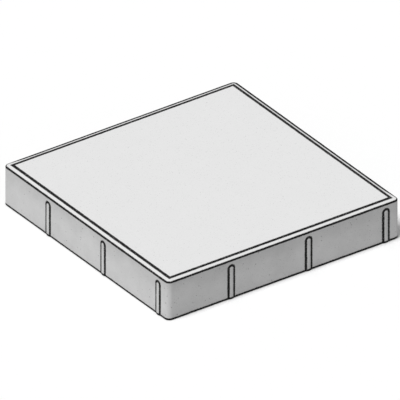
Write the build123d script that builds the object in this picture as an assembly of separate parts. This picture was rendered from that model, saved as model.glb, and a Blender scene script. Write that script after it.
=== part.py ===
from build123d import *
import os

# Square concrete paving slab with spacer nibs, in millimetres.
# It lies on its bed face at z = 0 with +Z up through the walking face, and the
# Z axis runs through the middle of the square.

# Laying grid
LAYING_MODULE = 500.0     # centre to centre of two slabs laid side by side
JOINT_WIDTH = 1.5         # open joint that the nibs keep between two slabs

# Section of the slab
THICKNESS = 80.0          # bed face to walking face
BEVEL_WIDTH = 12.0        # bevel round the walking face, seen from above
BEVEL_DROP = 2.0          # how far the bevel falls towards the wall
CORNER_RADIUS = 10.0      # upright corners; the walking face keeps sharp corners

# Spacer nibs, the same row on each of the four walls
NIBS_PER_SIDE = 3
NIB_WIDTH = 12.0          # width where the nib leaves the wall
NIB_END_OFFSET = 30.0     # last nib's centre to the corner that ends the wall
NIB_SHOULDER = 10.0       # plain wall left above the rounded top of a nib

# Sizes that follow from the ones above
SIDE = LAYING_MODULE - JOINT_WIDTH
HALF_SIDE = SIDE / 2
WALL_HEIGHT = THICKNESS - BEVEL_DROP
BEVEL_SLOPE = BEVEL_DROP / BEVEL_WIDTH
CORNER_AXIS = HALF_SIDE - CORNER_RADIUS    # axis of a rounded corner, from the middle
CORNER_RISE = CORNER_RADIUS * BEVEL_SLOPE  # bevel's rise from the wall to that axis
HALF_NIB = NIB_WIDTH / 2
NIB_RADIUS = (HALF_NIB ** 2 + JOINT_WIDTH ** 2) / (2 * JOINT_WIDTH)
NIB_AXIS = HALF_SIDE + JOINT_WIDTH - NIB_RADIUS
NIB_SHAFT_HEIGHT = WALL_HEIGHT - NIB_SHOULDER - HALF_NIB
NIB_DEPTH = 2 * JOINT_WIDTH                # half of it proud, half of it in the wall
NIB_PITCH = SIDE / NIBS_PER_SIDE
LAST_NIB_X = HALF_SIDE - NIB_END_OFFSET

ON_THE_BED = (Align.CENTER, Align.CENTER, Align.MIN)
QUARTER_TURNS = (0, 90, 180, 270)

# Square block with a mitred bevel round its top
slab = Box(SIDE, SIDE, THICKNESS, align=ON_THE_BED)
walking_face = slab.faces().sort_by(Axis.Z)[-1]
slab = chamfer(walking_face.edges(), BEVEL_WIDTH, BEVEL_DROP, reference=walking_face)

# One rounded corner: the rim's section turned through a quarter, so that the
# bevel runs on as part of a cone and meets the mitre at the corner's axis
corner_section = Polyline(
    (0, 0),
    (CORNER_RADIUS, 0),
    (CORNER_RADIUS, WALL_HEIGHT),
    (0, WALL_HEIGHT + CORNER_RISE),
    close=True,
)
corner_quarter = revolve(make_face(Plane.XZ * corner_section), Axis.Z, 90)
rounded_corner = Pos(CORNER_AXIS, CORNER_AXIS, 0) * corner_quarter
rounded_corner &= Box(SIDE, SIDE, THICKNESS, align=ON_THE_BED)
square_corner = Pos(CORNER_AXIS, CORNER_AXIS, 0) * Box(
    CORNER_RADIUS,
    CORNER_RADIUS,
    THICKNESS,
    align=Align.MIN,
)

# One spacer nib: the front of an upright round bar with a domed top, which stands
# out of the wall as a low rib with a half-round end
bar = Cylinder(NIB_RADIUS, NIB_SHAFT_HEIGHT, align=ON_THE_BED)
bar += Pos(0, 0, NIB_SHAFT_HEIGHT) * Sphere(NIB_RADIUS)
bar_front = Pos(0, -NIB_RADIUS, 0) * Box(
    2 * NIB_RADIUS,
    NIB_DEPTH,
    THICKNESS,
    align=(Align.CENTER, Align.MIN, Align.MIN),
)
nib = bar & bar_front

# Row of nibs on the -Y wall, counted back from the corner that ends the wall
nib_row = [
    Pos(LAST_NIB_X - step * NIB_PITCH, -NIB_AXIS, 0) * nib
    for step in range(NIBS_PER_SIDE)
]

# The same corner and the same row of nibs on all four sides
for turn in QUARTER_TURNS:
    slab -= Rot(0, 0, turn) * square_corner
for turn in QUARTER_TURNS:
    slab += Rot(0, 0, turn) * rounded_corner
for turn in QUARTER_TURNS:
    for one_nib in nib_row:
        slab += Rot(0, 0, turn) * one_nib

os.makedirs("parts", exist_ok=True)
export_step(slab, "parts/paving_slab.step")
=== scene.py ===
import math
import random

import bmesh
import bpy
from bpy.props import (
    FloatProperty,
    FloatVectorProperty,
    IntProperty,
    PointerProperty,
)
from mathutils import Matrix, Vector, geometry, noise


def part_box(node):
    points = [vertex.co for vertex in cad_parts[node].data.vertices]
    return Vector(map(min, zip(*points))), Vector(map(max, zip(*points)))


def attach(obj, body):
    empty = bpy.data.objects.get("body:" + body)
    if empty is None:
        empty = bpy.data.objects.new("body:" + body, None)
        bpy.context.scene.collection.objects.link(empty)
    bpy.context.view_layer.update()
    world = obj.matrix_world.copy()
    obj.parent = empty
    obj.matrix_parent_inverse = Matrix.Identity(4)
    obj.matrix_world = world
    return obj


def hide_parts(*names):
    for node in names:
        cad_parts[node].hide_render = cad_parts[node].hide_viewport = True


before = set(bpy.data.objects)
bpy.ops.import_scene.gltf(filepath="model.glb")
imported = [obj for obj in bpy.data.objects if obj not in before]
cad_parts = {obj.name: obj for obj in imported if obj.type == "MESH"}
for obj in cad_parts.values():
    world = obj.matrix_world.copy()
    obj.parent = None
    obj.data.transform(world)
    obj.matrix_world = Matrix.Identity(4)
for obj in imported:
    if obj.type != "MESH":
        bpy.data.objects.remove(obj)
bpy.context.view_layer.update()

bl_info = {
    "name": "Concrete paving slab",
    "version": (1, 0, 0),
    "blender": (4, 5, 0),
    "location": "3D View > Sidebar > Paving",
    "description": "Casts a bevelled concrete paving slab with spacer nibs and sets a plain stage",
    "category": "Add Mesh",
}

# All lengths are in metres, in the row's frame: the slab lies on z = 0 with the
# Z axis through the middle of the square.
MM = 0.001
SLAB_NODE = "paving_slab"
SLAB_PIECE = "cast_slab"
SIDES = 4


# Settings


class SlabShape(bpy.types.PropertyGroup):
    """Sizes of the slab and of the nibs cast on its sides."""

    laying_module: FloatProperty(
        name="Laying module",
        description="Centre to centre of two slabs laid side by side",
        default=0.500, unit="LENGTH",
    )
    joint_width: FloatProperty(
        name="Joint width",
        description="Open joint that the nibs keep, which is how far they stand proud",
        default=0.0015, unit="LENGTH",
    )
    thickness: FloatProperty(
        name="Thickness",
        description="Bed face to walking face",
        default=0.080, unit="LENGTH",
    )
    bevel_width: FloatProperty(
        name="Bevel width",
        description="Width of the bevel seen from above",
        default=0.012, unit="LENGTH",
    )
    bevel_drop: FloatProperty(
        name="Bevel drop",
        description="How far the bevel falls towards the wall",
        default=0.002, unit="LENGTH",
    )
    corner_radius: FloatProperty(
        name="Corner radius",
        description="Radius of the upright corners, less than the bevel's width",
        default=0.010, unit="LENGTH",
    )
    nibs_per_side: IntProperty(
        name="Nibs per side",
        description="Spacer nibs in the row on each wall",
        default=3, min=1,
    )
    nib_width: FloatProperty(
        name="Nib width",
        description="Width of a nib where it leaves the wall",
        default=0.012, unit="LENGTH",
    )
    nib_end_offset: FloatProperty(
        name="Nib end offset",
        description="Last nib's centre to the corner that ends the wall",
        default=0.030, unit="LENGTH",
    )
    nib_shoulder: FloatProperty(
        name="Nib shoulder",
        description="Plain wall left above the rounded top of a nib",
        default=0.010, unit="LENGTH",
    )
    arris_wear: FloatProperty(
        name="Arris wear",
        description="Radius that handling has rubbed on the outer edges",
        default=0.0011, unit="LENGTH",
    )
    relief_depth: FloatProperty(
        name="Relief depth",
        description="Deepest hollow of the slow unevenness left by the mould",
        default=0.00035, unit="LENGTH",
    )


class ConcreteFinish(bpy.types.PropertyGroup):
    """Colour and grain of the concrete."""

    tone: FloatVectorProperty(
        name="Concrete tone",
        description="Mean colour of the dry, pressed concrete",
        default=(0.78, 0.78, 0.78), size=3, min=0.0, max=1.0, subtype="COLOR",
    )
    cloud_size: FloatProperty(
        name="Cloud size",
        description="Length of the soft light and dark patches on the walls",
        default=0.045, unit="LENGTH",
    )
    cloud_depth: FloatProperty(
        name="Cloud depth",
        description="How much darker than the mean the patches on the walls get",
        default=0.14, subtype="FACTOR", min=0.0, max=1.0,
    )
    grain_size: FloatProperty(
        name="Sand grain",
        description="Size of the sand grains that show in the surface",
        default=0.0011, unit="LENGTH",
    )
    # The line round the nibs and at the foot is partly painted shade, in the creases and where the
    # slab meets the floor
    edge_width: FloatProperty(
        name="Edge line width",
        description="Half width of the dark line of open grain round nibs, before what edges add",
        default=0.0026, unit="LENGTH",
    )
    edge_depth: FloatProperty(
        name="Edge line depth",
        description="How much darker that line is than the face beside it",
        default=1.0, subtype="FACTOR", min=0.0, max=1.0,
    )
    roughness: FloatProperty(
        name="Roughness",
        description="Roughness of the matt surface",
        default=0.86, subtype="FACTOR", min=0.0, max=1.0,
    )


class StudioSetup(bpy.types.PropertyGroup):
    """Camera and light round the slab."""

    azimuth: FloatProperty(
        name="Camera azimuth",
        description="Angle round the slab, 0 looking along +Y",
        default=math.radians(-35.41), subtype="ANGLE",
    )
    elevation: FloatProperty(
        name="Camera elevation",
        description="Angle above the horizon",
        default=math.radians(30.70), subtype="ANGLE",
    )
    frame_side: FloatProperty(
        name="Slab side in the picture",
        description="Pixels that one side takes where it lies at right angles to the view",
        default=284.6,
    )
    key_strength: FloatProperty(
        name="Key light",
        description="Strength of the large soft light from above",
        default=2.38,
    )
    fill_strength: FloatProperty(
        name="Fill light",
        description="Strength of the even light from all round",
        default=0.32,
    )


def slab_sizes(shape):
    """The sizes that follow from the ones a user sets."""
    side = shape.laying_module - shape.joint_width
    half_side = side / 2
    half_nib = shape.nib_width / 2
    proud = shape.joint_width
    nib_radius = (half_nib ** 2 + proud ** 2) / (2 * proud)
    wall_height = shape.thickness - shape.bevel_drop
    return {
        "side": side,
        "half_side": half_side,
        "half_face": half_side - shape.bevel_width,
        "corner_axis": half_side - shape.corner_radius,
        "wall_height": wall_height,
        "half_nib": half_nib,
        "nib_radius": nib_radius,
        "nib_axis": half_side + proud - nib_radius,
        "nib_shaft": wall_height - shape.nib_shoulder - half_nib,
        "nib_pitch": side / shape.nibs_per_side,
        "last_nib": half_side - shape.nib_end_offset,
    }


# Slab blank


RIM_STEP = 2 * MM         # spacing of the mesh along the walls
FACE_STEP = 6.5 * MM      # spacing of the mesh inside the walking and bed faces
CORNER_STEPS = 9          # mesh steps round an upright corner
ARRIS_STEPS = 4           # mesh steps round a worn edge
WALL_ROWS = 10            # rows of mesh up a wall
BEVEL_ROWS = 3            # rows of mesh up the bevel to the corners' axes
BED_MARGIN = 2.2          # from the wall to the flat bed, in radii of a worn edge
BED_MARGIN_TELLS = 0.1    # how much wear tells there
WALL_MARGIN = 2.5         # from an edge to the flat wall, in the same radii
FACE_JITTER = 0.3         # how far a face point strays, as a share of its spacing
FACE_SEED = 11
FACE_SNAP = 1e-7          # points of a face closer than this are one
INSIDE_BORDER = 1         # the triangulation's mode that keeps what lies inside its border
RING_SNAP = 0.01 * MM     # corners of the rings closer than this are one
WEAR_PATCH = 9 * MM       # length of a more or less worn stretch of edge
WEAR_PATCH_SHARE = 0.35   # most that a stretch adds to the wear
WEAR_CRUMB = 2.3 * MM     # length of a crumb lost from an edge
WEAR_CRUMB_SHARE = 0.9    # most that a crumb adds


def rim_outline(sizes, inset, steps):
    """Points round the slab at one inset, anticlockwise from the -Y wall's start."""
    reach = sizes["half_side"] - inset
    axis = min(reach, sizes["corner_axis"])
    radius = reach - axis
    outline = []
    for quarter in range(SIDES):
        angle = quarter * math.pi / 2
        cos, sin = math.cos(angle), math.sin(angle)
        points = [(axis * (2 * step / steps - 1), -reach) for step in range(steps)]
        for step in range(CORNER_STEPS):
            turn = math.pi / 2 * step / CORNER_STEPS
            points.append((axis + radius * math.sin(turn), -axis - radius * math.cos(turn)))
        outline += [(x * cos - y * sin, x * sin + y * cos) for x, y in points]
    return outline


def rim_section(shape, sizes):
    """(inset from the wall, height, how much edge wear tells) from bed to walking face."""
    wear = shape.arris_wear
    width = shape.bevel_width
    wall_height = sizes["wall_height"]
    section = [
        (width, 0.0, 0.0),
        (width / 2, 0.0, 0.0),
        (BED_MARGIN * wear, 0.0, BED_MARGIN_TELLS),
    ]
    for step in range(ARRIS_STEPS + 1):
        turn = math.pi / 2 * step / ARRIS_STEPS
        tells = math.sin(2 * turn)
        section.append((wear * (1 - math.sin(turn)), wear * (1 - math.cos(turn)), tells))
    low, high = WALL_MARGIN * wear, wall_height - WALL_MARGIN * wear
    for row in range(WALL_ROWS + 1):
        section.append((0.0, low + (high - low) * row / WALL_ROWS, 0.0))
    slope = math.atan2(shape.bevel_drop, width)
    tuck = wear * math.tan((math.pi / 2 - slope) / 2)
    for step in range(ARRIS_STEPS + 1):
        turn = (math.pi / 2 - slope) * step / ARRIS_STEPS
        tells = math.sin(math.pi * step / ARRIS_STEPS)
        inset = wear * (1 - math.cos(turn))
        height = wall_height - tuck + wear * math.sin(turn)
        section.append((inset, height, tells))
    start = section[-1][0]
    for row in range(1, BEVEL_ROWS + 1):
        inset = start + (shape.corner_radius - start) * row / BEVEL_ROWS
        section.append((inset, wall_height + inset * math.tan(slope), 0.0))
    section.append((width, shape.thickness, 0.0))
    return section


def wear_at(x, y, z):
    """How worn the edge is at a place, from 0 to 1."""
    place = Vector((x, y, z))
    patch = 0.5 + 0.5 * noise.noise(place / WEAR_PATCH)
    crumb = max(0.0, noise.noise(place / WEAR_CRUMB))
    return min(1.0, WEAR_PATCH_SHARE * patch + WEAR_CRUMB_SHARE * crumb)


def face_points(half_face):
    """Slightly irregular points inside a face, clear of its outline."""
    rng = random.Random(FACE_SEED)
    count = int(2 * half_face / FACE_STEP)
    spacing = 2 * half_face / count
    points = []
    for row in range(1, count):
        for column in range(1, count):
            x = -half_face + spacing * (column + rng.uniform(-FACE_JITTER, FACE_JITTER))
            y = -half_face + spacing * (row + rng.uniform(-FACE_JITTER, FACE_JITTER))
            points.append((x, y))
    return points


def fill_face(mesh, ring, half_face, height, upward):
    """Closes the square inside a ring of vertices with an even, irregular mesh."""
    inside = [mesh.verts.new((x, y, height)) for x, y in face_points(half_face)]
    corners = ring + inside
    flat = [Vector((vert.co.x, vert.co.y)) for vert in corners]
    border = [(i, (i + 1) % len(ring)) for i in range(len(ring))]
    found = geometry.delaunay_2d_cdt(flat, border, [], INSIDE_BORDER, FACE_SNAP)
    triangles, origins = found[2], found[3]
    for triangle in triangles:
        verts = [corners[origins[i][0]] for i in triangle]
        if not upward:
            verts.reverse()
        mesh.faces.new(verts)


def cast_blank(shape, sizes):
    """The slab without nibs or pores, as a closed mesh."""
    axis = sizes["corner_axis"]
    steps = round(2 * axis / RIM_STEP)
    mesh = bmesh.new()
    rings = []
    for inset, height, tells in rim_section(shape, sizes):
        ring = []
        for x, y in rim_outline(sizes, inset, steps):
            lost = tells * wear_at(x, y, height) * shape.arris_wear
            out = Vector((x - max(-axis, min(axis, x)), y - max(-axis, min(axis, y))))
            if lost and out.length > 0:
                out.normalize()
                x -= out.x * lost
                y -= out.y * lost
                height_here = height + (lost if height < shape.thickness / 2 else -lost)
            else:
                height_here = height
            ring.append(mesh.verts.new((x, y, height_here)))
        rings.append(ring)
    for lower, upper in zip(rings, rings[1:]):
        count = len(lower)
        for i in range(count):
            j = (i + 1) % count
            mesh.faces.new((lower[i], lower[j], upper[j], upper[i]))
    bmesh.ops.remove_doubles(mesh, verts=mesh.verts, dist=RING_SNAP)
    for height, upward in ((0.0, False), (shape.thickness, True)):
        ring = [
            vert for vert in mesh.verts
            if vert.is_boundary and abs(vert.co.z - height) < RING_SNAP
        ]
        ring.sort(key=lambda vert: math.atan2(vert.co.y, vert.co.x))
        fill_face(mesh, ring, sizes["half_face"], height, upward)
    mesh.normal_update()
    data = bpy.data.meshes.new("slab blank")
    mesh.to_mesh(data)
    mesh.free()
    return data


# Nib


NIB_SEGMENTS = 64         # mesh steps round a nib's bar
NIB_DOME_STEPS = 12       # mesh steps from the shaft to the top of the dome
NIB_SHAFT_STEP = 5 * MM   # spacing of the mesh up the shaft
NIB_SNAP = 0.001 * MM     # corners of a nib closer than this are one


def nib_form(shape, sizes):
    """One nib as an upright bar with a domed top, standing on z = 0 round the Z axis."""
    radius, shaft, wear = sizes["nib_radius"], sizes["nib_shaft"], shape.arris_wear
    profile = [(0.0, 0.0)]
    for step in range(ARRIS_STEPS + 1):
        turn = math.pi / 2 * step / ARRIS_STEPS
        profile.append((radius - wear * (1 - math.sin(turn)), wear * (1 - math.cos(turn))))
    rows = round((shaft - wear) / NIB_SHAFT_STEP)
    for row in range(1, rows):
        profile.append((radius, wear + (shaft - wear) * row / rows))
    for step in range(NIB_DOME_STEPS + 1):
        turn = math.pi / 2 * step / NIB_DOME_STEPS
        profile.append((radius * math.cos(turn), shaft + radius * math.sin(turn)))
    mesh = bmesh.new()
    verts = [mesh.verts.new((r, 0.0, z)) for r, z in profile]
    edges = [mesh.edges.new(pair) for pair in zip(verts, verts[1:])]
    bmesh.ops.spin(
        mesh, geom=verts + edges, axis=(0, 0, 1), cent=(0, 0, 0),
        steps=NIB_SEGMENTS, angle=2 * math.pi, use_merge=True,
    )
    bmesh.ops.remove_doubles(mesh, verts=mesh.verts, dist=NIB_SNAP)
    bmesh.ops.recalc_face_normals(mesh, faces=mesh.faces)
    data = bpy.data.meshes.new("nib form")
    mesh.to_mesh(data)
    mesh.free()
    return data


# Node trees


class NodeMaker:
    """Adds nodes to a tree and links or sets their inputs as they are made."""

    def __init__(self, tree):
        self.tree = tree

    def put(self, socket, value):
        """Links a socket's value in, or sets it as a constant."""
        if isinstance(value, bpy.types.NodeSocket):
            self.tree.links.new(value, socket)
        else:
            socket.default_value = value

    def node(self, kind, inputs=None, **settings):
        """One node, with its settings and its inputs by name or number.

        A list holds the several links of one socket.
        """
        made = self.tree.nodes.new(kind)
        for name, value in settings.items():
            setattr(made, name, value)
        for key, value in (inputs or {}).items():
            for one in value if isinstance(value, list) else [value]:
                self.put(made.inputs[key], one)
        return made

    def math(self, operation, *values):
        """A Math node's result."""
        made = self.node("ShaderNodeMath", dict(enumerate(values)), operation=operation)
        return made.outputs[0]

    def scaled(self, vector, factor):
        """A vector times a number."""
        made = self.node(
            "ShaderNodeVectorMath", {"Vector": vector, "Scale": factor}, operation="SCALE",
        )
        return made.outputs[0]

    def split(self, vector):
        """X, Y and Z of a vector."""
        return self.node("ShaderNodeSeparateXYZ", {0: vector}).outputs

    def noise(self, place, size, detail=2.0, rough=0.5):
        """Even noise from 0 to 1, with patches of about the given length."""
        if isinstance(size, bpy.types.NodeSocket):
            scale = self.math("DIVIDE", 1.0, size)
        else:
            scale = 1 / size
        made = self.node("ShaderNodeTexNoise", {
            "Vector": place, "Scale": scale, "Detail": detail, "Roughness": rough,
        })
        return made.outputs["Fac"]

    def ramp(self, value, start, end, low=0.0, high=1.0):
        """Runs smoothly from low at start to high at end."""
        made = self.node("ShaderNodeMapRange", {
            "Value": value, "From Min": start, "From Max": end, "To Min": low, "To Max": high,
        }, interpolation_type="SMOOTHSTEP")
        return made.outputs[0]


def new_tree(name, kind, inputs, outputs):
    """A node tree with named inputs and outputs, and the maker that fills it."""
    tree = bpy.data.node_groups.new(name, kind)
    for label, socket_type in inputs:
        tree.interface.new_socket(label, in_out="INPUT", socket_type=socket_type)
    for label, socket_type in outputs:
        tree.interface.new_socket(label, in_out="OUTPUT", socket_type=socket_type)
    make = NodeMaker(tree)
    entry = make.node("NodeGroupInput").outputs
    leave = make.node("NodeGroupOutput").inputs
    return tree, make, entry, leave


PORE_SPACING = 2.6        # least distance between pores, in radii of the largest
PORE_SIZE_POWER = 2.2     # higher values make large pores rarer
PORE_STRETCH = 0.2        # how much longer or shorter than round a pore's mouth may be
PORE_SUBDIVISIONS = 2     # of the ball that a pore starts from
PORE_UNEVEN = 0.5         # how far a pore's wall strays from a ball
PORE_LUMP = 0.9           # length of the lumps in that wall, in the ball's radii


def pore_zone_tree():
    """Scatters uneven hollows over the faces where Zone is 1."""
    tree, make, entry, leave = new_tree(
        "Pore zone", "GeometryNodeTree",
        [
            ("Mesh", "NodeSocketGeometry"),
            ("Zone", "NodeSocketFloat"),
            ("Pores per square metre", "NodeSocketFloat"),
            ("Smallest radius", "NodeSocketFloat"),
            ("Largest radius", "NodeSocketFloat"),
            ("Depth", "NodeSocketFloat"),
            ("Seed", "NodeSocketInt"),
        ],
        [("Pores", "NodeSocketGeometry")],
    )
    scatter = make.node("GeometryNodeDistributePointsOnFaces", {
        "Mesh": entry["Mesh"],
        "Selection": entry["Zone"],
        "Distance Min": make.math("MULTIPLY", entry["Largest radius"], PORE_SPACING),
        "Density Max": entry["Pores per square metre"],
        "Seed": entry["Seed"],
    }, distribute_method="POISSON")

    def chance(low, high, shift):
        """A random number for each pore, drawn with a seed of its own."""
        limits = {2: low, 3: high, "Seed": make.math("ADD", entry["Seed"], shift)}
        return make.node("FunctionNodeRandomValue", limits, data_type="FLOAT").outputs[1]

    share = make.math("POWER", chance(0.0, 1.0, 1), PORE_SIZE_POWER)
    spread = make.math("SUBTRACT", entry["Largest radius"], entry["Smallest radius"])
    radius = make.math("MULTIPLY_ADD", share, spread, entry["Smallest radius"])
    shortest, longest = 1 - PORE_STRETCH, 1 + PORE_STRETCH
    scale = make.node("ShaderNodeCombineXYZ", {
        "X": make.math("MULTIPLY", radius, chance(shortest, longest, 2)),
        "Y": make.math("MULTIPLY", radius, chance(shortest, longest, 3)),
        "Z": make.math("MULTIPLY", radius, entry["Depth"]),
    }).outputs[0]

    ball = make.node("GeometryNodeMeshIcoSphere", {
        "Radius": 1.0, "Subdivisions": PORE_SUBDIVISIONS,
    }).outputs["Mesh"]
    place = make.node("GeometryNodeInputPosition").outputs[0]
    lumps = make.noise(place, PORE_LUMP)
    swell = make.math("MULTIPLY_ADD", lumps, PORE_UNEVEN, 1 - PORE_UNEVEN / 2)
    hollow = make.node("GeometryNodeSetPosition", {
        "Geometry": ball, "Position": make.scaled(place, swell),
    }).outputs[0]

    placed = make.node("GeometryNodeInstanceOnPoints", {
        "Points": scatter.outputs["Points"],
        "Instance": hollow,
        "Rotation": scatter.outputs["Rotation"],
        "Scale": scale,
    }).outputs[0]
    turn = make.node("ShaderNodeCombineXYZ", {"Z": chance(0.0, 2 * math.pi, 4)}).outputs[0]
    turned = make.node("GeometryNodeRotateInstances", {
        "Instances": placed, "Rotation": turn, "Local Space": True,
    }).outputs[0]
    real = make.node("GeometryNodeRealizeInstances", {"Geometry": turned}).outputs[0]
    make.put(leave["Pores"], real)
    return tree


LIES_FLAT = 0.9           # least upright part of a normal on the bevel or a face
POINTS_UP = 0.995         # least upward part of a normal on the walking face
WALL_LEAN = 0.2           # most upward part of a normal on a wall
FACE_PORE_DEPTH = 0.8     # depth of a pore in the walking or bed face, in its radii
WALL_PORE_DEPTH = 0.9     # and in a wall
SMALLEST_PORE = 0.4       # radius of the smallest pore, against the largest
SEED_STEP = 10            # between the seeds of the walking face, the walls and the bed
NIB_CLEARANCE = 2.2 * MM  # from a nib to the nearest pore
EDGE_CLEARANCE = 4 * MM   # from an edge to the nearest pore
BED_PATCH = 14 * MM       # length of the lumps on the bed face
BED_DEPTH = 2.2           # how much deeper than the walls' the bed's unevenness is
FACE_DEPTH = 0.35         # how deep the walking face's unevenness is, against the walls'
SLIVER = 0.02 * MM        # corners of the mesh closer than this become one


def slab_tree():
    """Joins the nibs to the blank, makes it slightly uneven and opens its pores."""
    tree, make, entry, leave = new_tree(
        "Cast slab", "GeometryNodeTree",
        [
            ("Slab blank", "NodeSocketGeometry"),
            ("Nib", "NodeSocketObject"),
            ("Nibs per side", "NodeSocketInt"),
            ("Nib pitch", "NodeSocketFloat"),
            ("Last nib", "NodeSocketFloat"),
            ("Nib axis to centre", "NodeSocketFloat"),
            ("Half walking face", "NodeSocketFloat"),
            ("Wall height", "NodeSocketFloat"),
            ("Relief depth", "NodeSocketFloat"),
            ("Relief size", "NodeSocketFloat"),
            ("Face pores per square metre", "NodeSocketFloat"),
            ("Wall pores per square metre", "NodeSocketFloat"),
            ("Bed pores per square metre", "NodeSocketFloat"),
            ("Largest face pore", "NodeSocketFloat"),
            ("Largest wall pore", "NodeSocketFloat"),
            ("Largest bed pore", "NodeSocketFloat"),
            ("Seed", "NodeSocketInt"),
            ("Concrete", "NodeSocketMaterial"),
        ],
        [("Slab", "NodeSocketGeometry")],
    )

    # A row of nib places on the -Y wall, then the same row on the other walls
    start = make.node("ShaderNodeCombineXYZ", {
        "X": entry["Last nib"], "Y": make.math("MULTIPLY", entry["Nib axis to centre"], -1.0),
    }).outputs[0]
    step = make.node("ShaderNodeCombineXYZ", {
        "X": make.math("MULTIPLY", entry["Nib pitch"], -1.0),
    }).outputs[0]
    row = make.node("GeometryNodeMeshLine", {
        "Count": entry["Nibs per side"], "Start Location": start, "Offset": step,
    }, mode="OFFSET").outputs[0]
    rows = make.node("GeometryNodeDuplicateElements", {
        "Geometry": row, "Amount": SIDES,
    }, domain="POINT")
    place = make.node("GeometryNodeInputPosition").outputs[0]
    quarter = make.math("MULTIPLY", rows.outputs["Duplicate Index"], 2 * math.pi / SIDES)
    swung = make.node("ShaderNodeVectorRotate", {
        "Vector": place, "Angle": quarter,
    }, rotation_type="Z_AXIS").outputs[0]
    places = make.node("GeometryNodeSetPosition", {
        "Geometry": rows.outputs["Geometry"], "Position": swung,
    }).outputs[0]
    nib = make.node("GeometryNodeObjectInfo", {"Object": entry["Nib"]}).outputs["Geometry"]
    nibs = make.node("GeometryNodeInstanceOnPoints", {"Points": places, "Instance": nib}).outputs[0]
    nibs = make.node("GeometryNodeRealizeInstances", {"Geometry": nibs}).outputs[0]
    joined = make.node("GeometryNodeMeshBoolean", {
        "Mesh 2": [entry["Slab blank"], nibs],
    }, operation="UNION", solver="MANIFOLD").outputs["Mesh"]

    # Slow unevenness, always inward, so that no face leaves its nominal size
    normal = make.node("GeometryNodeInputNormal").outputs[0]
    up = make.split(normal)["Z"]
    wall_noise = make.noise(place, entry["Relief size"], detail=1.0)
    bed_noise = make.noise(place, BED_PATCH, detail=2.0)
    on_bed = make.math("LESS_THAN", up, -LIES_FLAT)
    on_face = make.math("GREATER_THAN", up, LIES_FLAT)
    bed_part = make.math("MULTIPLY", make.math("MULTIPLY", on_bed, bed_noise), BED_DEPTH)
    wall_part = make.math("MULTIPLY", wall_noise, make.math(
        "MULTIPLY_ADD", on_face, FACE_DEPTH - 1, make.math("SUBTRACT", 1.0, on_bed),
    ))
    inward = make.math("MULTIPLY", make.math("ADD", bed_part, wall_part), entry["Relief depth"])
    uneven = make.node("GeometryNodeSetPosition", {
        "Geometry": joined,
        "Offset": make.scaled(normal, make.math("MULTIPLY", inward, -1.0)),
    }).outputs[0]

    # Where pores may open: clear of the edges and of the nibs
    x, y, z = make.split(place)
    reach = make.math("MAXIMUM", make.math("ABSOLUTE", x), make.math("ABSOLUTE", y))
    field = make.math("SUBTRACT", entry["Half walking face"], EDGE_CLEARANCE)
    inside = make.math("LESS_THAN", reach, field)
    face_zone = make.math("MULTIPLY", make.math("GREATER_THAN", up, POINTS_UP), inside)
    bed_zone = make.math("MULTIPLY", make.math("LESS_THAN", up, -LIES_FLAT), inside)
    high = make.math("SUBTRACT", entry["Wall height"], EDGE_CLEARANCE)
    upright = make.math("LESS_THAN", make.math("ABSOLUTE", up), WALL_LEAN)
    band = make.math(
        "MULTIPLY", make.math("GREATER_THAN", z, EDGE_CLEARANCE), make.math("LESS_THAN", z, high),
    )
    near = make.node("GeometryNodeProximity", {0: nibs}, target_element="FACES")
    clear = make.math("GREATER_THAN", near.outputs["Distance"], NIB_CLEARANCE)
    wall_zone = make.math("MULTIPLY", make.math("MULTIPLY", upright, band), clear)

    pore_tree = pore_zone_tree()
    pores = make.node("GeometryNodeJoinGeometry").inputs[0]
    for number, (zone, amount, largest, depth) in enumerate((
        (face_zone, "Face pores per square metre", "Largest face pore", FACE_PORE_DEPTH),
        (wall_zone, "Wall pores per square metre", "Largest wall pore", WALL_PORE_DEPTH),
        (bed_zone, "Bed pores per square metre", "Largest bed pore", FACE_PORE_DEPTH),
    )):
        made = make.node("GeometryNodeGroup", node_tree=pore_tree)
        for name, value in (
            ("Mesh", uneven),
            ("Zone", zone),
            ("Pores per square metre", entry[amount]),
            ("Smallest radius", make.math("MULTIPLY", entry[largest], SMALLEST_PORE)),
            ("Largest radius", entry[largest]),
            ("Depth", depth),
            ("Seed", make.math("ADD", entry["Seed"], SEED_STEP * number)),
        ):
            make.put(made.inputs[name], value)
        make.put(pores, made.outputs[0])
    marked = make.node("GeometryNodeStoreNamedAttribute", {
        "Geometry": pores.node.outputs[0], "Name": "pore", "Value": 1.0,
    }, data_type="FLOAT", domain="FACE").outputs[0]
    opened = make.node("GeometryNodeMeshBoolean", {
        "Mesh 1": uneven, "Mesh 2": marked,
    }, operation="DIFFERENCE", solver="MANIFOLD").outputs["Mesh"]
    clean = make.node("GeometryNodeMergeByDistance", {
        "Geometry": opened, "Distance": SLIVER,
    }).outputs[0]

    smooth = make.node("GeometryNodeSetShadeSmooth", {"Geometry": clean}).outputs[0]
    real = make.node("GeometryNodeRealizeInstances", {"Geometry": smooth}).outputs[0]
    make.put(leave["Slab"], make.node("GeometryNodeSetMaterial", {
        "Geometry": real, "Material": entry["Concrete"],
    }).outputs[0])
    return tree


def grown(name, blank, tree, values):
    """The plain mesh that a geometry tree makes of a blank, with nothing left behind."""
    carrier = bpy.data.objects.new(name, blank)
    bpy.context.scene.collection.objects.link(carrier)
    modifier = carrier.modifiers.new("Casting", "NODES")
    modifier.node_group = tree
    for item in tree.interface.items_tree:
        if item.in_out == "INPUT" and item.name in values:
            modifier[item.identifier] = values.pop(item.name)
    if values:
        raise RuntimeError(f"the tree {tree.name} has no input named {sorted(values)}")
    graph = bpy.context.evaluated_depsgraph_get()
    data = bpy.data.meshes.new_from_object(carrier.evaluated_get(graph))
    bpy.data.objects.remove(carrier)
    bpy.data.meshes.remove(blank)
    return data


# Material


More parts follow.
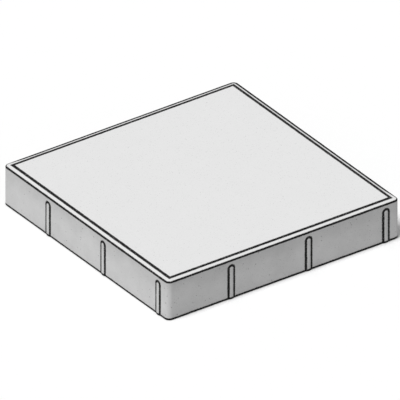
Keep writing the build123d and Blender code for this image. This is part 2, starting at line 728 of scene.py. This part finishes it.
FACE_BACKSET = 0.7 * MM   # the walking face's line reaches this much further on each side
ARRIS_BACKSET = 0.2 * MM  # the upper outer edge's this much
FAR_BACKSET = 3.8 * MM    # and this much along the +X and +Y sides
FAR_LENGTH = 40 * MM      # how gradually it widens towards them
FOOT_BACKSET = 2.0 * MM   # the foot's line reaches this much further, partly painted shadow where the slab meets the floor
FACE_LINE_FLOOR = 0.9     # the walking face's line ends at this share of the wall's height
OFF_WALL = 0.2            # a nib's line ends at this share of the corner radius in from the wall
AWAY = 1.0                # added to the distance from a line where it has ended, in metres


def edge_distance_tree():
    """Distance from a place on the slab to the nearest edge or nib outline."""
    tree, make, entry, leave = new_tree(
        "Distance to edge", "ShaderNodeTree",
        [
            ("Place", "NodeSocketVector"),
            ("Half walking face", "NodeSocketFloat"),
            ("Corner axis", "NodeSocketFloat"),
            ("Corner radius", "NodeSocketFloat"),
            ("Wall height", "NodeSocketFloat"),
            ("Nib shaft", "NodeSocketFloat"),
            ("Half nib", "NodeSocketFloat"),
            ("Nib pitch", "NodeSocketFloat"),
            ("Last nib", "NodeSocketFloat"),
        ],
        [("Distance", "NodeSocketFloat")],
    )
    x, y, z = make.split(entry["Place"])
    across, deep = make.math("ABSOLUTE", x), make.math("ABSOLUTE", y)

    # Line between the walking face and the bevel, a plain square
    reach = make.math("MAXIMUM", across, deep)
    floor = make.math("MULTIPLY", entry["Wall height"], FACE_LINE_FLOOR)
    low = make.math("LESS_THAN", z, floor)
    to_face = make.math("ABSOLUTE", make.math("SUBTRACT", reach, entry["Half walking face"]))
    to_face = make.math("SUBTRACT", make.math("MULTIPLY_ADD", low, AWAY, to_face), FACE_BACKSET)

    # Upper and lower edges of the wall, squares with round corners
    beyond_x = make.math("MAXIMUM", make.math("SUBTRACT", across, entry["Corner axis"]), 0.0)
    beyond_y = make.math("MAXIMUM", make.math("SUBTRACT", deep, entry["Corner axis"]), 0.0)

    def hypotenuse(a, b):
        return make.math("SQRT", make.math("MULTIPLY_ADD", a, a, make.math("MULTIPLY", b, b)))

    inset = make.math("SUBTRACT", entry["Corner radius"], hypotenuse(beyond_x, beyond_y))
    to_arris = hypotenuse(inset, make.math("SUBTRACT", z, entry["Wall height"]))
    backset = make.ramp(make.math("ADD", x, y), 0.0, FAR_LENGTH, ARRIS_BACKSET, FAR_BACKSET)
    to_arris = make.math("SUBTRACT", to_arris, backset)
    to_foot = hypotenuse(make.math("MAXIMUM", inset, 0.0), z)
    to_foot = make.math("SUBTRACT", to_foot, FOOT_BACKSET)

    # Outline of the nearest nib on this wall: two upright lines under a half circle
    side_on = make.math("GREATER_THAN", across, deep)
    along_y = make.math("MULTIPLY", y, make.math("SIGN", x))
    along_x = make.math("MULTIPLY", make.math("MULTIPLY", x, make.math("SIGN", y)), -1.0)
    along = make.node("ShaderNodeMix", {0: side_on, 2: along_x, 3: along_y}).outputs[0]
    half_pitch = make.math("MULTIPLY", entry["Nib pitch"], 0.5)
    from_nib = make.math(
        "WRAP", make.math("SUBTRACT", along, entry["Last nib"]),
        half_pitch, make.math("MULTIPLY", half_pitch, -1.0),
    )
    above = make.math("MAXIMUM", make.math("SUBTRACT", z, entry["Nib shaft"]), 0.0)
    to_nib = make.math("SUBTRACT", hypotenuse(from_nib, above), entry["Half nib"])
    to_nib = make.math("ABSOLUTE", to_nib)
    margin = make.math("MULTIPLY", entry["Corner radius"], OFF_WALL)
    off_wall = make.math("GREATER_THAN", inset, margin)
    to_nib = make.math("MULTIPLY_ADD", off_wall, AWAY, to_nib)

    nearest = make.math("MINIMUM", to_face, make.math("MINIMUM", to_arris, to_foot))
    make.put(leave["Distance"], make.math("MINIMUM", nearest, to_nib))
    return tree


WALL_BLEND = 0.3 * MM     # height, up and down, in which the wall's look gives way to the top's
FACE_CLOUD = 0.1          # the walking face's clouds against the walls'
TOP_BAND = 38 * MM        # darker band at the top of the walls, from the bevel down
TOP_BAND_DEPTH = 0.12     # how much darker it gets
FOOT_BAND = 16 * MM       # fainter one at their foot
FOOT_BAND_DEPTH = 0.05
BAND_WAVE = 20 * MM       # how far the bands wander up and down
BAND_WAVE_LENGTH = 0.6    # how soon they do, in cloud sizes
GRAIN_DEPTH = 0.14        # how much the sand's shade varies
SPECK_SIZE = 2.4 * MM     # mean distance between dark grains
SPECK_CORE = (0.16, 0.3)  # where a dark grain starts to fade and ends, in that distance
SPECK_PICK = (0.62, 1.0)  # of grains numbered 0 to 1, where they start to be dark and are darkest
SPECK_DEPTH = 0.32        # how dark the darkest is
LINE_FADE = (0.65, 1.2)   # where an edge line starts to fade and ends, in its half widths
CRUMB_SIZE = 1.2 * MM     # crumbs that make the dark edge lines ragged
CRUMB_REACH = 1.0         # how far they reach, in half widths of the line
LINE_WANDER_SIZE = 13 * MM      # stretches where an edge line is wider or narrower
LINE_WANDER_REACH = 0.25        # by how much, in the same half widths
BARE_CORE = (0.2, 0.42)   # the same for a pale, bare sand grain in an edge line
BARE_PICK = (0.55, 0.75)  # and for which of the grains are bare
BARE_GRAIN = 0.25         # how much paler than the line they are
PORE_SHADE = 0.35         # painted shade: how much darker a pore is inside
GRAIN_ROUGH = 0.12        # what the sand adds to the roughness, and takes away
LINE_ROUGH = 0.06         # what an edge line adds
FINE_SIZE = 0.45          # grain size of the finest bumps, against the sand's
FINE_HEIGHT = 0.4         # their height against the sand's
SPECK_HEIGHT = 0.25       # and that of the dark grains
CRUMB_HEIGHT = 1.5        # and of the crumbs in an edge line
BUMP_HEIGHT = 0.35 * MM   # height of the sand
BUMP_STRENGTH = 0.55
SPECULAR = 0.25           # concrete is duller than a smooth surface


def concrete_material(shape, finish, sizes):
    """Pale pressed concrete: soft clouds on the walls, sand grain, dark lines at the edges that are
    partly painted shade round the nibs and at the foot, and painted shade in the pores.
    """
    material = bpy.data.materials.new("Pressed concrete")
    material.use_nodes = True
    material.node_tree.nodes.clear()
    make = NodeMaker(material.node_tree)
    place = make.node("ShaderNodeTexCoord").outputs["Object"]
    z = make.split(place)["Z"]

    # Soft patches, strong on the walls and faint on the walking face
    top = sizes["wall_height"]
    on_wall = make.ramp(z, top + WALL_BLEND, top - WALL_BLEND)
    cloud = make.noise(place, finish.cloud_size, detail=4.0, rough=0.6)
    reach = make.math("MULTIPLY_ADD", on_wall, 1 - FACE_CLOUD, FACE_CLOUD)
    cloud = make.math("MULTIPLY", make.math("SUBTRACT", cloud, 0.5), reach)
    shade = make.math("MULTIPLY_ADD", cloud, 2 * finish.cloud_depth, 1.0)

    # Darker bands under the bevel and at the foot, uneven along the wall
    wavy = make.noise(place, BAND_WAVE_LENGTH * finish.cloud_size, detail=2.0)
    wavy = make.math("SUBTRACT", wavy, 0.5)
    line = make.math("MULTIPLY_ADD", wavy, BAND_WAVE, z)
    band = make.ramp(line, top - TOP_BAND, top, 0.0, TOP_BAND_DEPTH)
    foot = make.ramp(line, 0.0, FOOT_BAND, FOOT_BAND_DEPTH, 0.0)
    bands = make.math("MULTIPLY", make.math("ADD", band, foot), on_wall)
    shade = make.math("MULTIPLY", shade, make.math("SUBTRACT", 1.0, bands))

    # Sand: fine grain, with a few darker grains
    grain = make.noise(place, finish.grain_size, detail=2.0, rough=0.6)
    centred = make.math("SUBTRACT", grain, 0.5)
    shade = make.math("MULTIPLY", shade, make.math("MULTIPLY_ADD", centred, GRAIN_DEPTH, 1.0))
    cells = make.node("ShaderNodeTexVoronoi", {
        "Vector": place, "Scale": 1 / SPECK_SIZE, "Randomness": 1.0,
    })
    core = make.ramp(cells.outputs["Distance"], *SPECK_CORE, 1.0, 0.0)
    pick = make.ramp(make.split(cells.outputs["Color"])["X"], *SPECK_PICK)
    speck = make.math("MULTIPLY", make.math("MULTIPLY", core, pick), SPECK_DEPTH)
    shade = make.math("MULTIPLY", shade, make.math("SUBTRACT", 1.0, speck))

    # Dark lines along the edges and round the nibs, with a ragged border; round the nibs and at the
    # foot they are partly painted shade, in the creases and where the slab meets the floor
    edge_group = make.node("ShaderNodeGroup", node_tree=edge_distance_tree())
    for name, value in (
        ("Place", place),
        ("Half walking face", sizes["half_face"]),
        ("Corner axis", sizes["corner_axis"]),
        ("Corner radius", shape.corner_radius),
        ("Wall height", sizes["wall_height"]),
        ("Nib shaft", sizes["nib_shaft"]),
        ("Half nib", sizes["half_nib"]),
        ("Nib pitch", sizes["nib_pitch"]),
        ("Last nib", sizes["last_nib"]),
    ):
        make.put(edge_group.inputs[name], value)
    width = finish.edge_width
    crumbs = make.math("SUBTRACT", make.noise(place, CRUMB_SIZE, detail=2.0, rough=0.55), 0.5)
    line_wander = make.math("SUBTRACT", make.noise(place, LINE_WANDER_SIZE, detail=1.0), 0.5)
    ragged = make.math("MULTIPLY_ADD", line_wander, LINE_WANDER_REACH * width, edge_group.outputs[0])
    ragged = make.math("MULTIPLY_ADD", crumbs, CRUMB_REACH * width, ragged)
    edge = make.ramp(ragged, LINE_FADE[0] * width, LINE_FADE[1] * width, 1.0, 0.0)
    bare = make.ramp(make.split(cells.outputs["Color"])["Y"], *BARE_PICK)
    body = make.ramp(cells.outputs["Distance"], *BARE_CORE, 1.0, 0.0)
    bare = make.math("MULTIPLY", body, bare)
    edge = make.math("MULTIPLY", edge, make.math("MULTIPLY_ADD", bare, -BARE_GRAIN, 1.0))
    shade = make.math("MULTIPLY", shade, make.math("MULTIPLY_ADD", edge, -finish.edge_depth, 1.0))

    # Painted shade inside the pores
    pore = make.node("ShaderNodeAttribute", attribute_name="pore").outputs["Fac"]
    shade = make.math("MULTIPLY", shade, make.math("MULTIPLY_ADD", pore, -PORE_SHADE, 1.0))

    tone = make.node("ShaderNodeCombineXYZ", dict(enumerate(finish.tone))).outputs[0]
    colour = make.scaled(tone, shade)
    rough = make.math("MULTIPLY_ADD", centred, GRAIN_ROUGH, finish.roughness)
    rough = make.math("MULTIPLY_ADD", edge, LINE_ROUGH, rough)
    fine = make.noise(place, FINE_SIZE * finish.grain_size, detail=2.0, rough=0.6)
    height = make.math("MULTIPLY_ADD", core, SPECK_HEIGHT, grain)
    height = make.math("MULTIPLY_ADD", fine, FINE_HEIGHT, height)
    loose = make.math("MULTIPLY", crumbs, edge)
    height = make.math("MULTIPLY_ADD", loose, CRUMB_HEIGHT, height)
    bump = make.node("ShaderNodeBump", {
        "Strength": BUMP_STRENGTH, "Distance": BUMP_HEIGHT, "Height": height,
    }).outputs[0]
    surface = make.node("ShaderNodeBsdfPrincipled", {
        "Base Color": colour, "Roughness": rough, "Normal": bump, "Specular IOR Level": SPECULAR,
    })
    leave = make.node("ShaderNodeOutputMaterial")
    make.put(leave.inputs["Surface"], surface.outputs[0])
    material.diffuse_color = (*finish.tone, 1.0)
    return material


# Operators


RELIEF_SIZE = 38 * MM     # length of the slow unevenness
FACE_PORES = 1500.0       # most pores per square metre of the walking face
WALL_PORES = 2600.0       # of the walls
BED_PORES = 1800.0        # and of the bed face
FACE_PORE = 0.8 * MM      # radius of the largest pore in the walking face
WALL_PORE = 1.2 * MM
BED_PORE = 2.4 * MM
PORE_SEED = 5
SHARP_TURN = math.radians(28)  # edges that turn more than this are shaded sharp


class PAVING_OT_cast_slab(bpy.types.Operator):
    """Cast the concrete slab with its nibs, pores and worn edges"""

    bl_idname = "paving.cast_slab"
    bl_label = "Cast slab"

    def execute(self, context):
        shape = context.scene.paving_shape
        finish = context.scene.paving_finish
        sizes = slab_sizes(shape)
        low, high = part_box(SLAB_NODE)
        expected = sizes["side"] + 2 * shape.joint_width
        if abs(high.x - low.x - expected) > MM or abs(high.z - low.z - shape.thickness) > MM:
            raise RuntimeError("the slab's sizes here differ from the frame's")

        concrete = concrete_material(shape, finish, sizes)
        nib = bpy.data.objects.new("nib form", nib_form(shape, sizes))
        context.scene.collection.objects.link(nib)
        data = grown("slab blank", cast_blank(shape, sizes), slab_tree(), {
            "Nib": nib,
            "Nibs per side": shape.nibs_per_side,
            "Nib pitch": sizes["nib_pitch"],
            "Last nib": sizes["last_nib"],
            "Nib axis to centre": sizes["nib_axis"],
            "Half walking face": sizes["half_face"],
            "Wall height": sizes["wall_height"],
            "Relief depth": shape.relief_depth,
            "Relief size": RELIEF_SIZE,
            "Face pores per square metre": FACE_PORES,
            "Wall pores per square metre": WALL_PORES,
            "Bed pores per square metre": BED_PORES,
            "Largest face pore": FACE_PORE,
            "Largest wall pore": WALL_PORE,
            "Largest bed pore": BED_PORE,
            "Seed": PORE_SEED,
            "Concrete": concrete,
        })
        nib_mesh = nib.data
        bpy.data.objects.remove(nib)
        bpy.data.meshes.remove(nib_mesh)
        data.materials.clear()
        data.materials.append(concrete)
        data.polygons.foreach_set("material_index", [0] * len(data.polygons))
        data.name = SLAB_PIECE
        data.set_sharp_from_angle(angle=SHARP_TURN)
        slab = bpy.data.objects.new(SLAB_PIECE, data)
        context.scene.collection.objects.link(slab)
        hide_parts(SLAB_NODE)
        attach(slab, "root")
        return {"FINISHED"}


IMAGE_SIDE = 400          # the picture is square, in pixels
FACE_MIDDLE = (201.46, 181.2)  # pixel where the middle of the walking face falls
CAMERA_DISTANCE = 3.0
VIEW_END = 20.0           # how far the camera sees
FLOOR_HALF = 5.0
FLOOR_DROP = 0.05 * MM    # how far the floor lies under the bed face
FLOOR_TONE = 0.48         # what the floor gives back to the slab
SEEN_FLOOR_TONE = 0.99    # what the camera sees of it
KEY_DIRECTION = (-0.40, -0.05, 0.915)  # from the slab towards the key light
KEY_DISTANCE = 2.0
KEY_SPREAD = math.radians(22)  # angle that the light seems wide, which softens shadows


def seen_straight(make):
    """1 where the camera or a gloss looks, 0 for the light that reaches the slab."""
    rays = make.node("ShaderNodeLightPath").outputs
    return make.math("MAXIMUM", rays["Is Camera Ray"], rays["Is Glossy Ray"])


def floor_material():
    """Plain white floor that keeps the slab's shadow and gives back a soft light."""
    material = bpy.data.materials.new("White floor")
    material.use_nodes = True
    material.node_tree.nodes.clear()
    make = NodeMaker(material.node_tree)
    seen = seen_straight(make)
    tone = make.math("MULTIPLY_ADD", seen, SEEN_FLOOR_TONE - FLOOR_TONE, FLOOR_TONE)
    surface = make.node("ShaderNodeBsdfDiffuse", {"Color": tone})
    leave = make.node("ShaderNodeOutputMaterial")
    make.put(leave.inputs["Surface"], surface.outputs[0])
    return material


class PAVING_OT_set_stage(bpy.types.Operator):
    """Set a pale floor, soft studio light and a camera at the picture's angle"""

    bl_idname = "paving.set_stage"
    bl_label = "Set stage"

    def execute(self, context):
        scene = context.scene
        studio = scene.paving_studio
        shape = scene.paving_shape

        floor_data = bpy.data.meshes.new("floor")
        corners = [(-1, -1), (1, -1), (1, 1), (-1, 1)]
        places = [(x * FLOOR_HALF, y * FLOOR_HALF, -FLOOR_DROP) for x, y in corners]
        floor_data.from_pydata(places, [], [(0, 1, 2, 3)])
        floor_data.materials.append(floor_material())
        floor = bpy.data.objects.new("floor", floor_data)
        scene.collection.objects.link(floor)

        world = bpy.data.worlds.new("Studio air")
        world.use_nodes = True
        world.node_tree.nodes.clear()
        make = NodeMaker(world.node_tree)
        seen, fill = seen_straight(make), studio.fill_strength
        strength = make.math("MULTIPLY_ADD", seen, 1 - fill, fill)
        air = make.node("ShaderNodeBackground", {"Color": (1, 1, 1, 1), "Strength": strength})
        leave = make.node("ShaderNodeOutputWorld")
        make.put(leave.inputs["Surface"], air.outputs[0])
        scene.world = world

        key_data = bpy.data.lights.new("key light", "SUN")
        key_data.energy = studio.key_strength
        key_data.angle = KEY_SPREAD
        key = bpy.data.objects.new("key light", key_data)
        key.rotation_euler = Vector(KEY_DIRECTION).to_track_quat("Z", "Y").to_euler()
        key.location = Vector(KEY_DIRECTION) * KEY_DISTANCE
        scene.collection.objects.link(key)

        pixel = slab_sizes(shape)["side"] / studio.frame_side
        turn, tilt = studio.azimuth, studio.elevation
        back = Vector((
            math.sin(turn) * math.cos(tilt), -math.cos(turn) * math.cos(tilt), math.sin(tilt),
        ))
        right = Vector((math.cos(turn), math.sin(turn), 0))
        up = back.cross(right)
        shift_x = (FACE_MIDDLE[0] - IMAGE_SIDE / 2) * pixel
        shift_y = (IMAGE_SIDE / 2 - FACE_MIDDLE[1]) * pixel
        aim = Vector((0, 0, shape.thickness)) - right * shift_x - up * shift_y
        lens = bpy.data.cameras.new("camera")
        lens.type = "ORTHO"
        lens.ortho_scale = IMAGE_SIDE * pixel
        lens.clip_end = VIEW_END
        camera = bpy.data.objects.new("camera", lens)
        camera.location = aim + back * CAMERA_DISTANCE
        camera.rotation_euler = back.to_track_quat("Z", "Y").to_euler()
        scene.collection.objects.link(camera)
        scene.camera = camera
        scene.view_settings.view_transform = "Standard"
        return {"FINISHED"}


class PAVING_PT_slab(bpy.types.Panel):
    """The slab's sizes and finish, and the stage round it"""

    bl_idname = "PAVING_PT_slab"
    bl_label = "Concrete paving slab"
    bl_space_type = "VIEW_3D"
    bl_region_type = "UI"
    bl_category = "Paving"

    def draw(self, context):
        scene = context.scene
        for group, operator in (
            (scene.paving_shape, PAVING_OT_cast_slab.bl_idname),
            (scene.paving_finish, None),
            (scene.paving_studio, PAVING_OT_set_stage.bl_idname),
        ):
            box = self.layout.box()
            for name in group.__annotations__:
                box.prop(group, name)
            if operator:
                box.operator(operator)


CLASSES = (
    SlabShape,
    ConcreteFinish,
    StudioSetup,
    PAVING_OT_cast_slab,
    PAVING_OT_set_stage,
    PAVING_PT_slab,
)


def register():
    for cls in CLASSES:
        bpy.utils.register_class(cls)
    bpy.types.Scene.paving_shape = PointerProperty(type=SlabShape)
    bpy.types.Scene.paving_finish = PointerProperty(type=ConcreteFinish)
    bpy.types.Scene.paving_studio = PointerProperty(type=StudioSetup)


def unregister():
    del bpy.types.Scene.paving_studio
    del bpy.types.Scene.paving_finish
    del bpy.types.Scene.paving_shape
    for cls in reversed(CLASSES):
        bpy.utils.unregister_class(cls)


def main():
    register()
    bpy.ops.paving.cast_slab()
    bpy.ops.paving.set_stage()


if __name__ == "__main__":
    main()
